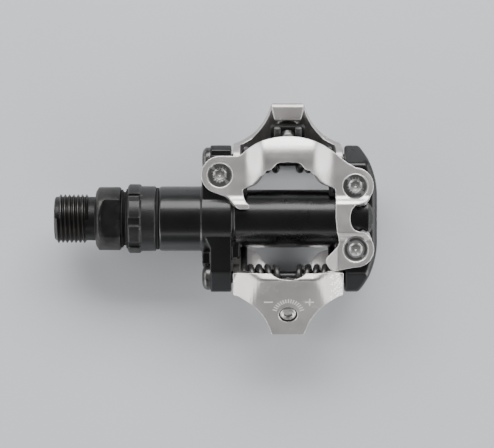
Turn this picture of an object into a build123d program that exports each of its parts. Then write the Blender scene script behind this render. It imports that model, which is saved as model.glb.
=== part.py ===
from build123d import *
from math import acos, asin, atan2, cos, degrees, hypot, pi, radians, sin, tan
import os

# Right-hand double-sided clipless pedal, in millimetres.
# +X runs along the spindle away from the crank, +Y points forward, +Z up. The origin is on the
# spindle axis in the plane of the shoulder that seats on the crank. The underside mechanism is
# the top one turned half a turn about the spindle.

# ---- driving dimensions ----
CENTRE_X = 56.3            # crank seat to the middle of the cleat pocket
SHEET = 2.1                # thickness of the pressed steel plates
GAP = 0.05                 # running clearance on a radius

# spindle
THREAD_MAJOR_R = 7.14      # 9/16 in x 20 TPI
THREAD_MINOR_R = 6.37
THREAD_PITCH = 1.27
THREAD_TURNS = 7
THREAD_END_X = -12.1
NECK_R = 6.45
FLANGE_R, FLANGE_X = 9.3, 7.4
WRENCH_FLAT_Z = 7.5        # half of the 15 mm across flats
WRENCH_FLAT_X, WRENCH_FLAT_END_R = 1.2, 13.0  # the flats run out in an arc near the crank
SEAL_SEAT_R, SEAL_SEAT_X = 6.85, 9.8
SEAL_LIP_R, SEAL_GROOVE_R, SEAL_EDGE_R = 8.9, 7.8, 8.6
JOURNAL_R, JOURNAL_X = 6.0, 22.5
SHAFT_R = 4.4
RACE_R = 4.9               # shoulder that carries the inboard balls
NOSE_R = 3.7               # shaft inside the sleeve's two races
STUD_R, STUD_X = 2.5, 75.3  # threaded end for the cone and nut
FIT_GAP = 0.02             # between pieces that are screwed or pressed together

# bearings
BALL_R = 1.19              # 3/32 in balls
BALL_COUNT = 12
BALL_CIRCLE_R = 5.0
INBOARD_BALLS_X, OUTBOARD_BALLS_X = 54.0, 68.0
SLEEVE_R, SLEEVE_BORE_R, SLEEVE_X = 6.95, 5.55, 30.3
CUP_R = BALL_CIRCLE_R + 1.4  # room for the balls inside the sleeve
CONE_LENGTH, CONE_HEXAGON, CONE_HEXAGON_LENGTH = 2.1, 9.5, 2.4
NUT_HEXAGON, NUT_LENGTH = 8.0, 2.6

# lock bolt
LOCK_X, LOCK_SPLINE_X, LOCK_COLLAR_X = 9.4, 13.3, 17.7
LOCK_SPLINE_R, LOCK_COLLAR_R, LOCK_THREAD_R = 10.15, 9.55, 7.95
LOCK_BORE_R, LOCK_END_X = 6.6, 30.1
SPLINE_SLOTS, SPLINE_SLOT_WIDTH, SPLINE_SLOT_DEPTH, SPLINE_PHASE = 8, 2.4, 0.95, 39.0
O_RING_R = 9.1
BUSH_END_X = 28.5

# pedal body, about the pocket's middle
BARREL_X, BARREL_R, MIDDLE_R = 18.5, 9.5, 8.5
INBOARD_HUB_R, OUTBOARD_HUB_R = 9.85, 9.5
ARM_INNER = 16.55          # half the gap between the inboard and outboard blocks
INBOARD_ARM_X, INBOARD_BLOCK_X, OUTBOARD_X = -22.7, -25.2, 26.0
ARM_END_Y, ARM_END_Z = 21.5, 3.2
SEAT_Z = 8.2               # plane that the front plate is screwed to
SLOPE_Y = 15.2             # where the seat starts to slope down to the arm's end
STEP_Y, STEP_Z = 18.0, 4.4  # step in front of the inboard screw boss
POCKET_X, POCKET_Y = 21.2, 0.35
WEB_X, WEB_Y, WEB_Z = 13.95, 11.9, 5.0  # webs between the barrel and the arms
BORE_R, BORE_STEP_X, BORE_NOSE_R, BORE_END_X = 7.0, 69.3, 6.3, 76.5

# claw pivot
PIN_Y, PIN_R = 17.2, 1.8
PIN_HEAD_R, PIN_HEAD, PIN_END_X = 3.8, 2.5, 20.8

# front plate
SCREWS = [(-19.9, 12.7), (19.5, 9.5), (19.6, -8.9)]
SCREW_R, SCREW_HEAD_R, SCREW_HEAD, SCREW_LENGTH = 2.0, 3.65, 1.7, 9.6
SCREW_SOCKET, SCREW_SOCKET_DEPTH = 3.0, 1.6
INBOARD_LUG_R, OUTBOARD_LUG_R = 5.45, 5.3
NOTCH_X, NOTCH_Y, NOTCH_R = 22.75, 0.35, 4.8
ARCH_Y = 7.5               # the arch lies in front of this line
ARCH_LEFT, ARCH_RIGHT = (-13.1, -8.2), (8.2, 13.7)  # x of its bends
TAIL_Y, TAIL_X, TAIL_DROP = -7.0, 14.4, 2.6
ARCH_RISE = 4.1            # lift of the arch over the screwed lugs
BAND_RISE = 1.35           # lift of the plate where it crosses the hub
BAND_Y, BAND_FOOT_Y = 4.2, 6.4

# rear claw
CLAW_HALF = 16.1
LIP_Y, LIP_Z = -15.8, 13.5
CREST_Y, CREST_Z = -17.8, 14.5
TIP_Y, TIP_Z, TIP_HALF = -34.0, 3.2, 4.85
FACE_ANGLE = degrees(atan2(CREST_Z - TIP_Z, CREST_Y - TIP_Y))
FLANK_X, FLANK_ANGLE, FLANK_FLARE = 8.4, 32.0, 16.0  # the bends spread apart towards the tip
EAR_R = 3.8
BOLT_Y = -28.1

# tension screw and springs
BOLT_SOCKET, BOLT_SOCKET_DEPTH = 3.0, 2.0
BOLT_BOSS_R, BOLT_FLANGE_R, BOLT_FLANGE, BOLT_THREAD_R, BOLT_LENGTH = 2.35, 3.6, 1.0, 1.95, 8.2
BOLT_TOP_DEPTH = 0.3       # of the screw's head below the claw's face
PLATE_DEPTH, PLATE_THICK, PLATE_HALF, PLATE_WIDTH = 4.4, 1.8, 5.1, 6.2
WIRE_R, COIL_R, COIL_TURNS = 0.95, 3.0, 4
COIL_OUTER_X, COIL_INNER_X = 12.85, 3.1
INNER_LEG_END = (-26.6, -0.7)   # under the tension plate
LEG_GAP = 0.1              # between an outer leg and the barrel it rests on


# ---- helpers ----
def turned(shape):
    """The same piece on the underside."""
    return Rot(180, 0, 0) * shape


def ring(points):
    """A solid of revolution about the spindle axis, from (x, radius) points."""
    return revolve(make_face(Polyline(*points, close=True)), Axis.X)


def rod(radius, x0, x1, y=0, z=0):
    return Pos((x0 + x1) / 2, y, z) * Rot(0, 90, 0) * Cylinder(radius, x1 - x0)


def hexagon_socket(across, depth):
    return extrude(RegularPolygon(across / 2, 6, major_radius=False), -depth)


def sheet_outline(points, thickness):
    """Points of a strip that lies to the right of a bent line, with mitred bends."""
    inner = []
    for i, (u, v) in enumerate(points):
        normals = []
        for a, b in ((i - 1, i), (i, i + 1)):
            if a < 0 or b >= len(points):
                continue
            du, dv = points[b][0] - points[a][0], points[b][1] - points[a][1]
            length = hypot(du, dv)
            normals.append((dv / length, -du / length))
        nu, nv = sum(n[0] for n in normals), sum(n[1] for n in normals)
        scale = thickness * len(normals) / (nu * nu + nv * nv)
        inner.append((u + nu * scale, v + nv * scale))
    return list(points) + inner[::-1]


def across_x(points, x0, x1):
    """A prism along X of a (y, z) outline."""
    face = make_face(Polyline(*[(0, y, z) for y, z in points], close=True))
    return extrude(Pos(x0, 0, 0) * face, x1 - x0, dir=(1, 0, 0))


def across_y(points, y0, y1):
    """A prism along Y of an (x, z) outline."""
    face = make_face(Polyline(*[(x, 0, z) for x, z in points], close=True))
    return extrude(Pos(0, y0, 0) * face, y1 - y0, dir=(0, 1, 0))


def block(x0, x1, y0, y1, z0, z1):
    return Pos((x0 + x1) / 2, (y0 + y1) / 2, (z0 + z1) / 2) * Box(x1 - x0, y1 - y0, z1 - z0)


def save(shape, name):
    solids = shape.solids()
    whole = solids[0] if len(solids) == 1 else Compound(children=list(solids))
    export_step(whole, f"parts/{name}.step")
    print(f"{name}: {len(solids)} solid(s), {sum(s.volume for s in solids):.1f} mm3")


# ---- spindle and bearings, measured from the crank seat ----
def ball_track(x):
    return Pos(x, 0, 0) * Rot(0, 90, 0) * Torus(BALL_CIRCLE_R, BALL_R + FIT_GAP)


def spindle():
    crest, flank = 0.16, (THREAD_MAJOR_R - THREAD_MINOR_R) * tan(radians(30))
    profile = [(THREAD_END_X, 0), (THREAD_END_X, THREAD_MINOR_R - 0.4)]
    for i in range(THREAD_TURNS):
        x = THREAD_END_X + 1.0 + i * THREAD_PITCH
        profile += [
            (x - crest - flank, THREAD_MINOR_R),
            (x - crest, THREAD_MAJOR_R),
            (x + crest, THREAD_MAJOR_R),
            (x + crest + flank, THREAD_MINOR_R),
        ]
    profile += [
        (profile[-1][0] + 0.2, NECK_R),
        (0, NECK_R),
        (0, FLANGE_R - 1.5),
        (0.8, FLANGE_R),
        (FLANGE_X - 0.5, FLANGE_R),
        (FLANGE_X, FLANGE_R - 0.5),
        (FLANGE_X, SEAL_SEAT_R),
        (SEAL_SEAT_X, SEAL_SEAT_R),
        (SEAL_SEAT_X, JOURNAL_R),
        (JOURNAL_X, JOURNAL_R),
        (JOURNAL_X + 3, SHAFT_R),
        (INBOARD_BALLS_X - 2.4, SHAFT_R),
        (INBOARD_BALLS_X - 2.0, RACE_R),
        (INBOARD_BALLS_X + 0.2, RACE_R),
        (INBOARD_BALLS_X + 0.2, NOSE_R),
        (OUTBOARD_BALLS_X - 0.6, NOSE_R),
        (OUTBOARD_BALLS_X - 0.6, STUD_R),
        (STUD_X - 0.5, STUD_R),
        (STUD_X, STUD_R - 0.5),
        (STUD_X, 0),
    ]
    shaft = ring(profile) - ball_track(INBOARD_BALLS_X)
    cutter = block(0, FLANGE_X + 1, -FLANGE_R, FLANGE_R, WRENCH_FLAT_Z, 12)
    cutter &= Pos(WRENCH_FLAT_X + WRENCH_FLAT_END_R, 0, WRENCH_FLAT_Z) * Cylinder(WRENCH_FLAT_END_R, 12)
    shaft -= cutter
    return shaft - turned(cutter)


def balls(x):
    ball = Pos(x, 0, BALL_CIRCLE_R) * Sphere(BALL_R)
    return Compound(children=[(Rot(360 / BALL_COUNT * i, 0, 0) * ball).solid() for i in range(BALL_COUNT)])


def bearing_sleeve():
    x0, x1 = INBOARD_BALLS_X - 0.4, OUTBOARD_BALLS_X + 0.4
    profile = [
        (SLEEVE_X, SLEEVE_BORE_R), (SLEEVE_X, SLEEVE_R), (BORE_STEP_X - GAP, SLEEVE_R), (BORE_STEP_X - GAP, CUP_R),
        (x1, CUP_R), (x1, RACE_R - 0.2), (x0, RACE_R - 0.2), (x0, CUP_R), (x0 - 3, CUP_R), (x0 - 3, SLEEVE_BORE_R),
    ]
    inner_lip = ring([(x0 - 1, 0), (x0 - 1, RACE_R + GAP), (x0 + 0.6, RACE_R + GAP), (x0 + 0.6, 0)])
    outer_lip = ring([(x1 - 0.6, 0), (x1 - 0.6, RACE_R + GAP), (x1 + 1, RACE_R + GAP), (x1 + 1, 0)])
    sleeve = ring(profile) - inner_lip - outer_lip
    return sleeve - ball_track(INBOARD_BALLS_X) - ball_track(OUTBOARD_BALLS_X)


def bearing_cone():
    x, bore = OUTBOARD_BALLS_X - 0.2, STUD_R + FIT_GAP
    race = ring([(x, bore), (x, RACE_R), (x + CONE_LENGTH, RACE_R), (x + CONE_LENGTH, bore)])
    hexagon = RegularPolygon(CONE_HEXAGON / 2, 6, major_radius=False)
    race += Pos(x + CONE_LENGTH - 0.1, 0, 0) * Rot(0, 90, 0) * extrude(hexagon, CONE_HEXAGON_LENGTH)
    return race - rod(bore, x - 1, STUD_X) - ball_track(OUTBOARD_BALLS_X)


def lock_nut():
    x = OUTBOARD_BALLS_X - 0.2 + CONE_LENGTH + CONE_HEXAGON_LENGTH
    nut = Pos(x, 0, 0) * Rot(0, 90, 0) * extrude(RegularPolygon(NUT_HEXAGON / 2, 6, major_radius=False), NUT_LENGTH)
    return nut - rod(STUD_R + FIT_GAP, x - 1, x + NUT_LENGTH + 1)


def dust_seal():
    x0, x1, inner = FLANGE_X + 2 * GAP, LOCK_X - FIT_GAP, SEAL_SEAT_R + GAP
    return ring([(x0, inner), (x0, SEAL_EDGE_R), ((x0 + x1) / 2, SEAL_GROOVE_R), (x1, SEAL_LIP_R), (x1, inner)])


def lock_bolt():
    mouth_r, mouth_x = SEAL_SEAT_R + 2 * GAP, SEAL_SEAT_X + 0.4
    profile = [
        (LOCK_X, mouth_r), (LOCK_X, LOCK_SPLINE_R - 0.6), (LOCK_X + 0.6, LOCK_SPLINE_R),
        (LOCK_SPLINE_X - 0.5, LOCK_SPLINE_R), (LOCK_SPLINE_X, LOCK_COLLAR_R), (LOCK_COLLAR_X - 0.3, LOCK_COLLAR_R),
        (LOCK_COLLAR_X, LOCK_COLLAR_R - 0.3), (LOCK_COLLAR_X, LOCK_THREAD_R), (LOCK_END_X, LOCK_THREAD_R),
        (LOCK_END_X, LOCK_BORE_R), (mouth_x, LOCK_BORE_R), (mouth_x, mouth_r),
    ]
    bolt = ring(profile)
    half, floor = SPLINE_SLOT_WIDTH / 2, LOCK_SPLINE_R - SPLINE_SLOT_DEPTH
    slot = block(LOCK_X - 1, LOCK_SPLINE_X, -half, half, floor, LOCK_SPLINE_R + 1)
    for i in range(SPLINE_SLOTS):
        bolt -= Rot(-SPLINE_PHASE - 360 / SPLINE_SLOTS * i, 0, 0) * slot
    return bolt


def o_ring():
    x0, x1, inner, outer, edge = LOCK_COLLAR_X, BARREL_X, LOCK_THREAD_R, O_RING_R, 0.2
    profile = [(x0, inner), (x0, outer - edge), (x0 + edge, outer), (x1 - edge, outer), (x1, outer - edge), (x1, inner)]
    return ring(profile)


def spindle_bush():
    return rod(LOCK_BORE_R, SEAL_SEAT_X + 0.6, BUSH_END_X) - rod(JOURNAL_R + GAP, 0, CENTRE_X)


# ---- pedal body, about the pocket's middle ----
def outboard_plan():
    """Outline of the outboard block seen from above: a straight side with rounded shoulders."""
    side, shoulder = 7.0, 20.7
    radius = ((OUTBOARD_X - shoulder) ** 2 + (ARM_END_Y - side) ** 2) / (2 * (OUTBOARD_X - shoulder))
    half_turn = asin((ARM_END_Y - side) / radius) / 2
    drop, run = radius * (1 - cos(half_turn)), radius * sin(half_turn)
    upper = ThreePointArc((OUTBOARD_X, side), (OUTBOARD_X - drop, side + run), (shoulder, ARM_END_Y))
    lower = ThreePointArc((OUTBOARD_X, -side), (OUTBOARD_X - drop, -side - run), (shoulder, -ARM_END_Y))
    edges = [
        Line((OUTBOARD_X, -side), (OUTBOARD_X, side)), upper,
        Line((shoulder, ARM_END_Y), (ARM_INNER, ARM_END_Y)), Line((ARM_INNER, ARM_END_Y), (ARM_INNER, -ARM_END_Y)),
        Line((ARM_INNER, -ARM_END_Y), (shoulder, -ARM_END_Y)), lower,
    ]
    return make_face(edges)


def inboard_plan():
    """Outline of the inboard block's upper half: the front screw boss, the hub and the rear arm."""
    x, y = SCREWS[0]
    outline = [
        (INBOARD_BLOCK_X, y), (INBOARD_BLOCK_X, -2.8), (INBOARD_ARM_X, -8.8), (INBOARD_ARM_X, -ARM_END_Y),
        (-ARM_INNER, -ARM_END_Y), (-ARM_INNER, ARM_END_Y), (INBOARD_ARM_X, ARM_END_Y), (INBOARD_ARM_X, y),
    ]
    return make_face(Polyline(*outline, close=True)) + Pos(x, y) * Circle(-INBOARD_BLOCK_X + x)


def body_half():
    """The upper half of both blocks."""
    rear = [(-ARM_END_Y, 0), (-ARM_END_Y, ARM_END_Z), (-SLOPE_Y, SEAT_Z)]
    outboard_side = rear + [(SLOPE_Y, SEAT_Z), (ARM_END_Y, ARM_END_Z), (ARM_END_Y, 0)]
    inboard_side = rear + [(STEP_Y, SEAT_Z), (STEP_Y, STEP_Z), (ARM_END_Y, ARM_END_Z), (ARM_END_Y, 0)]
    outboard = extrude(outboard_plan(), SEAT_Z) & across_x(outboard_side, ARM_INNER, OUTBOARD_X)
    inboard = extrude(inboard_plan(), SEAT_Z) & across_x(inboard_side, INBOARD_BLOCK_X - 1, -ARM_INNER)
    pocket = Pos(POCKET_X, POCKET_Y, SEAT_Z) * Box(4.6, 5.4, 2.4)
    return inboard + outboard - fillet(pocket.edges().filter_by(Axis.Z), 1.5)


def pedal_body():
    half = body_half()
    body = half + turned(half)
    body += rod(BARREL_R, BARREL_X - CENTRE_X, -ARM_INNER) + rod(MIDDLE_R, -ARM_INNER - 1, ARM_INNER + 1)
    body += rod(INBOARD_HUB_R, INBOARD_BLOCK_X, -ARM_INNER) + rod(OUTBOARD_HUB_R, ARM_INNER, OUTBOARD_X - 2)
    for x0, x1 in ((-ARM_INNER - 1, -WEB_X), (WEB_X, ARM_INNER + 1)):
        body += block(x0, x1, -WEB_Y, WEB_Y, -WEB_Z, WEB_Z)
    above = block(-BARREL_X * 2, OUTBOARD_X, -BARREL_R, BARREL_R, SEAT_Z + BAND_RISE, SEAT_Z + 5)
    body -= above
    body -= turned(above)
    bore = rod(LOCK_THREAD_R + GAP, BARREL_X - 1, SLEEVE_X + 0.2) + rod(BORE_R, SLEEVE_X, BORE_STEP_X)
    bore += rod(BORE_NOSE_R, BORE_STEP_X - 1, BORE_END_X)
    body -= Pos(-CENTRE_X, 0, 0) * bore
    for y in (PIN_Y, -PIN_Y):
        body -= rod(PIN_R + FIT_GAP, -OUTBOARD_X, PIN_END_X + 0.2, y)
        body -= rod(PIN_HEAD_R + 0.3, -OUTBOARD_X, INBOARD_ARM_X, y)
    depth = SCREW_LENGTH - SHEET + 0.3
    for x, y in SCREWS:
        hole = Pos(x, y, SEAT_Z - depth / 2) * Cylinder(SCREW_R + FIT_GAP, depth)
        body -= hole
        body -= turned(hole)
    return body


def claw_pin():
    x0, x1 = INBOARD_ARM_X, PIN_END_X
    head, chamfered = x0 - PIN_HEAD, 0.5
    profile = [
        (head, 0), (head, PIN_HEAD_R - 1.4), (head + 0.5, PIN_HEAD_R - 0.5), (head + 1.2, PIN_HEAD_R),
        (x0, PIN_HEAD_R), (x0, PIN_R), (x1 - chamfered, PIN_R), (x1, PIN_R - chamfered), (x1, 0),
    ]
    return Pos(0, -PIN_Y, 0) * ring(profile)


# ---- front plate ----
def front_plan():
    """Outline of the front plate seen from above: three lugs, the arch and its two tails."""
    (lx, ly), (ux, uy), (wx, wy) = SCREWS
    outer = [
        Line((-19.9, 18.1), (-14.6, 18.1)),
        ThreePointArc((-14.6, 18.1), (-9.9, 21.6), (-5.4, 23.3)),
        ThreePointArc((-5.4, 23.3), (0, 23.8), (5.4, 23.3)),
        ThreePointArc((5.4, 23.3), (9.9, 21.5), (13.9, 18.5)),
        Line((13.9, 18.5), (19.5, 14.8)), Line((19.5, 14.8), (19.6, -14.2)), Line((19.6, -14.2), (12.5, -15.1)),
        Line((12.5, -15.1), (10.8, -11.6)), Line((10.8, -11.6), (14.8, -7.4)), Line((14.8, -7.4), (13.8, 0)),
        Line((13.8, 0), (13.7, 8.9)), Line((13.7, 8.9), (10.7, 9.8)), Line((10.7, 9.8), (6.3, 13.6)),
        Line((6.3, 13.6), (4.4, 14.3)), ThreePointArc((4.4, 14.3), (0, 16.2), (-4.4, 14.3)),
        Line((-4.4, 14.3), (-6.3, 13.6)), Line((-6.3, 13.6), (-10.3, 9.7)), Line((-10.3, 9.7), (-13.2, 8.6)),
        Line((-13.2, 8.6), (-13.0, 6.4)), Line((-13.0, 6.4), (-11.3, 3.7)), Line((-11.3, 3.7), (-11.6, 2.7)),
        Line((-11.6, 2.7), (-14.6, 2.6)), Line((-14.6, 2.6), (-18.0, 7.5)), Line((-18.0, 7.5), (-19.9, 18.1)),
    ]
    plan = make_face(outer) + Pos(lx, ly) * Circle(INBOARD_LUG_R)
    plan += Pos(ux, uy) * Circle(OUTBOARD_LUG_R) + Pos(wx, wy) * Circle(OUTBOARD_LUG_R)
    return plan - Pos(NOTCH_X, NOTCH_Y) * Circle(NOTCH_R)


def front_plate():
    low, high, reach, top = SEAT_Z + SHEET, SEAT_Z + SHEET + ARCH_RISE, 30, 20
    band = low + BAND_RISE
    (left_foot, left_crown), (right_crown, right_foot) = ARCH_LEFT, ARCH_RIGHT
    prism = extrude(front_plan(), top)
    bends = [(left_foot - 1.5, low), (left_foot, low), (left_crown, high), (right_crown, high), (right_foot, low),
             (right_foot + 0.9, low)]
    arch = across_y(sheet_outline(bends, SHEET), ARCH_Y, reach)
    front_slope = [(20.2, high + 1), (20.2, high), (24.4, high - 1.6), (26, high - 1.6), (26, high + 1)]
    arch -= across_x(front_slope, -reach, reach)
    over_hub = [(-reach, low), (-BAND_FOOT_Y, low), (-BAND_Y, band), (BAND_Y, band), (BAND_FOOT_Y, low), (reach, low)]
    raised = sheet_outline(over_hub, SHEET)
    tail = across_y(sheet_outline([(9, low - TAIL_DROP), (TAIL_X, low), (16, low)], SHEET), -reach, TAIL_Y)
    inboard = block(-reach, left_foot, ARCH_Y, reach, 0, top) + block(-reach, -5, -5, ARCH_Y, 0, top)
    outboard = block(right_foot, reach, TAIL_Y - 0.4, reach, 0, top) + block(TAIL_X, reach, -reach, TAIL_Y, 0, top)
    plate = prism & across_x(raised, -reach, 0) & inboard
    plate += prism & arch & block(left_foot, right_foot, ARCH_Y, reach, 0, top)
    plate += prism & across_x(raised, 0, reach) & outboard
    plate += prism & tail & block(5, TAIL_X, -reach, TAIL_Y, 0, top)
    sink = Pos(0, 0, -SCREW_HEAD / 2) * Cone(SCREW_HEAD_R - SCREW_HEAD + GAP, SCREW_HEAD_R + GAP, SCREW_HEAD)
    for x, y in SCREWS:
        plate -= Pos(x, y, low) * (sink + Cylinder(SCREW_R + 0.2, 3 * SHEET))
    return plate


def plate_screws():
    low = SEAT_Z + SHEET
    screw = Pos(0, 0, -SCREW_HEAD / 2) * Cone(SCREW_HEAD_R - SCREW_HEAD, SCREW_HEAD_R, SCREW_HEAD)
    screw += Pos(0, 0, -SCREW_LENGTH / 2) * Cylinder(SCREW_R, SCREW_LENGTH)
    screw -= hexagon_socket(SCREW_SOCKET, SCREW_SOCKET_DEPTH)
    return Compound(children=[(Pos(x, y, low) * screw).solid() for x, y in SCREWS])


# ---- rear claw ----
def claw_plan():
    """Outline of the rear claw seen from above: a wide lip that narrows to the tip."""
    edges = [
        Line((-CLAW_HALF, LIP_Y), (-5.0, LIP_Y)), ThreePointArc((-5.0, LIP_Y), (0, LIP_Y - 2.1), (5.0, LIP_Y)),
        Line((5.0, LIP_Y), (CLAW_HALF, LIP_Y)), Line((CLAW_HALF, LIP_Y), (CLAW_HALF, -22.4)),
        Line((CLAW_HALF, -22.4), (13.2, -23.6)), ThreePointArc((13.2, -23.6), (7.9, -27.9), (TIP_HALF, TIP_Y)),
        Line((TIP_HALF, TIP_Y), (-TIP_HALF, TIP_Y)),
        ThreePointArc((-TIP_HALF, TIP_Y), (-7.9, -27.9), (-13.2, -23.6)),
        Line((-13.2, -23.6), (-CLAW_HALF, -22.4)), Line((-CLAW_HALF, -22.4), (-CLAW_HALF, LIP_Y)),
    ]
    return make_face(edges)


def face_plane(y):
    """Plane on the claw's sloping face, +Z out of the face, +X along the spindle."""
    slope = radians(FACE_ANGLE)
    return Plane((0, y, TIP_Z + (y - TIP_Y) * tan(slope)), x_dir=(1, 0, 0), z_dir=(0, -sin(slope), cos(slope)))


def claw_block(inset):
    """Everything below the claw's lip, sloping face and flanks, each moved in by the inset."""
    rise, half, reach = tan(radians(FACE_ANGLE)), CLAW_HALF - inset, 40
    lip_slope = (CREST_Z - LIP_Z) / (CREST_Y - LIP_Y)
    lip_drop, face_drop = inset * hypot(1, lip_slope), inset * hypot(1, rise)
    crest_y = CREST_Y + (face_drop - lip_drop) / (rise - lip_slope)
    crest_z = CREST_Z - lip_drop + (crest_y - CREST_Y) * lip_slope
    outline = [
        (0, crest_z + (0 - crest_y) * lip_slope), (crest_y, crest_z), (-reach, crest_z - (reach + crest_y) * rise),
        (-reach, -reach), (0, -reach),
    ]
    flank = radians(FLANK_ANGLE)
    start = FLANK_X - inset * tan(flank / 2)
    wedge = [(start, -inset), (reach, -inset - (reach - start) * tan(flank)), (reach, reach), (start, reach)]
    solid = across_x(outline, -half, half)
    for side in (1, -1):
        flare = Pos(side * FLANK_X, 0, 0) * Rot(0, 0, side * FLANK_FLARE) * Pos(-side * FLANK_X, 0, 0)
        solid -= face_plane(CREST_Y).location * flare * across_y([(side * x, z) for x, z in wedge], -reach, reach)
    return solid


def rear_claw():
    keep = across_x([(LIP_Y, 20), (LIP_Y, 6.5), (-PIN_Y + EAR_R, 0), (-40, 0), (-40, 20)], -20, 20)
    keep += rod(EAR_R, -20, 20, -PIN_Y)
    claw = (claw_block(0) - claw_block(SHEET)) & extrude(claw_plan(), 40, both=True) & keep
    fold = [
        (TIP_Y, TIP_Z), (TIP_Y, TIP_Z - 1.7), (TIP_Y + 0.9, TIP_Z - 2.6), (TIP_Y + 5.2, TIP_Z - 2.9),
        (TIP_Y + 5.2, TIP_Z - 1.2), (TIP_Y + 2.3, TIP_Z - 1.0), (TIP_Y + 2.3, TIP_Z + 0.2), (TIP_Y + 1.0, TIP_Z + 0.6),
    ]
    taper = make_face(Polyline((-TIP_HALF, TIP_Y), (TIP_HALF, TIP_Y), (3.6, TIP_Y + 6), (-3.6, TIP_Y + 6), close=True))
    claw += across_x(fold, -TIP_HALF, TIP_HALF) & extrude(taper, 20, both=True)
    claw -= rod(PIN_R + 0.06, -20, 20, -PIN_Y)
    hole = face_plane(BOLT_Y).location * Pos(0, 0, -1) * Cylinder(BOLT_BOSS_R + 0.35, 6)
    return claw - hole


# ---- tension screw, its plate and the springs ----
def tension_bolt():
    flange = -SHEET - GAP
    bolt = Pos(0, 0, (flange - BOLT_TOP_DEPTH) / 2) * Cylinder(BOLT_BOSS_R, -flange - BOLT_TOP_DEPTH)
    bolt += Pos(0, 0, flange - BOLT_FLANGE / 2) * Cylinder(BOLT_FLANGE_R, BOLT_FLANGE)
    bolt += Pos(0, 0, (flange - BOLT_LENGTH) / 2) * Cylinder(BOLT_THREAD_R, BOLT_LENGTH + flange)
    bolt -= Pos(0, 0, -BOLT_TOP_DEPTH) * hexagon_socket(BOLT_SOCKET, BOLT_SOCKET_DEPTH)
    return face_plane(BOLT_Y).location * bolt


def tension_plate():
    plan = Rectangle(2 * PLATE_HALF, PLATE_WIDTH) - Circle(BOLT_THREAD_R + GAP)
    plate = extrude(plan, -PLATE_THICK)
    return face_plane(BOLT_Y).location * Pos(0, 0, -PLATE_DEPTH) * plate


def inboard_spring():
    """A torsion spring round the claw pin: its outer leg rests on the barrel, its inner leg pushes the plate up."""
    pin = (-PIN_Y, 0.0)
    rest_r = MIDDLE_R + WIRE_R + LEG_GAP
    lean = asin((COIL_R + rest_r) / PIN_Y)
    outer_end = (-rest_r * sin(lean), -rest_r * cos(lean))
    away, down = INNER_LEG_END[0] - pin[0], INNER_LEG_END[1]
    first = pi / 2 - lean
    last = atan2(down, away) % (2 * pi) - acos(COIL_R / hypot(away, down))
    total = last - first + 2 * pi * COIL_TURNS
    ramp, steps = (pi / 2) / total, 18 * COIL_TURNS
    points = []
    for i in range(steps + 1):
        share = i / steps
        near = min(share, 1 - share, ramp)
        eased = near * near / (2 * ramp) + max(0, min(share, 1 - share) - ramp)
        eased = eased / (1 - ramp)
        x = COIL_INNER_X + (COIL_OUTER_X - COIL_INNER_X) * (1 - eased if share <= 0.5 else eased)
        angle = first + total * share
        points.append((-x, pin[0] + COIL_R * cos(angle), pin[1] + COIL_R * sin(angle)))
    outer, inner = Vector(points[0][0], *outer_end), Vector(points[-1][0], *INNER_LEG_END)
    leg_steps = [0, 0.25, 0.5, 0.75, 0.9]
    first_leg = [outer + (Vector(points[0]) - outer) * share for share in leg_steps]
    last_leg = [inner + (Vector(points[-1]) - inner) * share for share in leg_steps[::-1]]
    path = Wire([Spline(*first_leg, *points, *last_leg).edge()])
    return sweep(Plane(path @ 0, z_dir=path % 0) * Circle(WIRE_R), path)


def main():
    os.makedirs("parts", exist_ok=True)
    save(spindle(), "spindle")
    save(dust_seal(), "dust_seal")
    save(lock_bolt(), "lock_bolt")
    save(o_ring(), "lock_bolt_o_ring")
    save(spindle_bush(), "spindle_bush")
    save(bearing_sleeve(), "bearing_sleeve")
    save(balls(INBOARD_BALLS_X), "inboard_balls")
    save(balls(OUTBOARD_BALLS_X), "outboard_balls")
    save(bearing_cone(), "bearing_cone")
    save(lock_nut(), "lock_nut")
    save(Pos(CENTRE_X, 0, 0) * pedal_body(), "pedal_body")
    pieces = {
        "front_plate": front_plate(),
        "plate_screws": plate_screws(),
        "rear_claw": rear_claw(),
        "claw_pin": claw_pin(),
        "inboard_spring": inboard_spring(),
        "outboard_spring": mirror(inboard_spring(), Plane.YZ),
        "tension_bolt": tension_bolt(),
        "tension_plate": tension_plate(),
    }
    for name, piece in pieces.items():
        save(Pos(CENTRE_X, 0, 0) * piece, f"top_{name}")
        save(Pos(CENTRE_X, 0, 0) * turned(piece), f"bottom_{name}")


main()
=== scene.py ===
from math import acos, asin, atan2, cos, exp, hypot, log, pi, radians, sin, tan

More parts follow.
